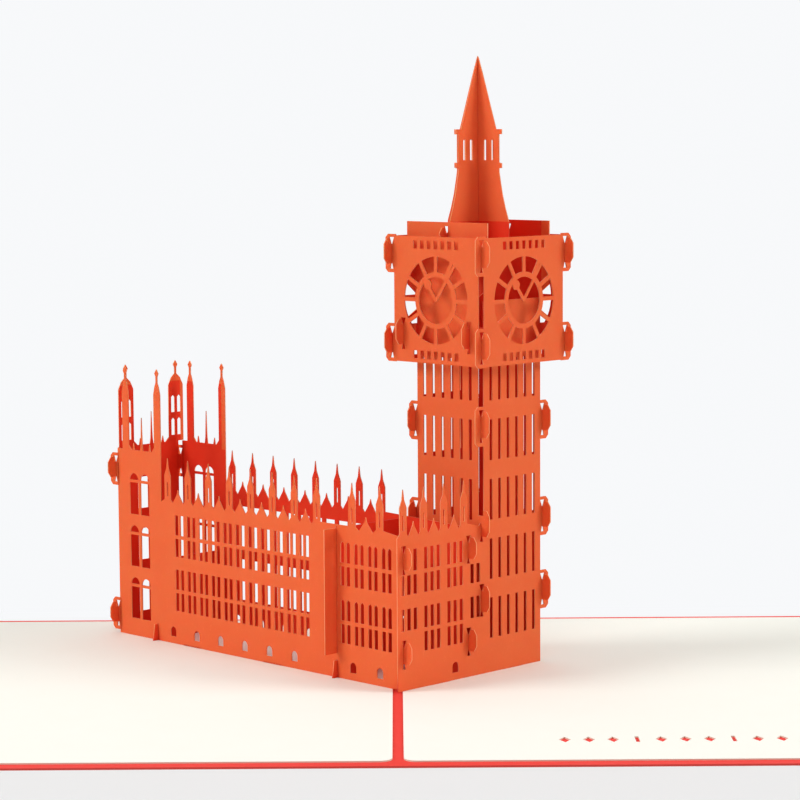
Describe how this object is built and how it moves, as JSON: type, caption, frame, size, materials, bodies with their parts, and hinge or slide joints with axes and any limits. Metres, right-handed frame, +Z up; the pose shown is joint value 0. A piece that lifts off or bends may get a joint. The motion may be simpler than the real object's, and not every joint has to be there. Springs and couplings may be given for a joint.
{
  "type": "pop up card",
  "caption": "Pop up card lying open, a folded card with inner pages that carries a lattice of slotted paper sheets: a gothic hall, a corner tower and a clock tower with a spire.",
  "frame": {"origin": "middle of the spine, on the surface that the open card lies on", "axes": "+X across the open card to the reader's right, +Y along the spine away from the reader, +Z up"},
  "size_m": [0.3, 0.15, 0.1385],
  "materials": {
    "cover_card": "smooth dyed card, matt",
    "page_paper": "uncoated cream paper, matt",
    "building_paper": "dyed orange paper, laser cut, matt"
  },
  "bodies": {
    "root": {"cover": "cover_card", "left_page": "page_paper", "right_page": "page_paper", "front_wall": "building_paper", "back_wall": "building_paper", "right_wall": "building_paper", "cross_wall": "building_paper", "low_wall": "building_paper", "end_wall": "building_paper", "tower_left_wall": "building_paper", "tower_back_wall": "building_paper", "tower_far_wall": "building_paper", "dial_front_left": "building_paper", "dial_front_right": "building_paper", "dial_back_left": "building_paper", "dial_back_right": "building_paper", "spire_long": "building_paper", "spire_cross": "building_paper"}
  },
  "joints": []
}
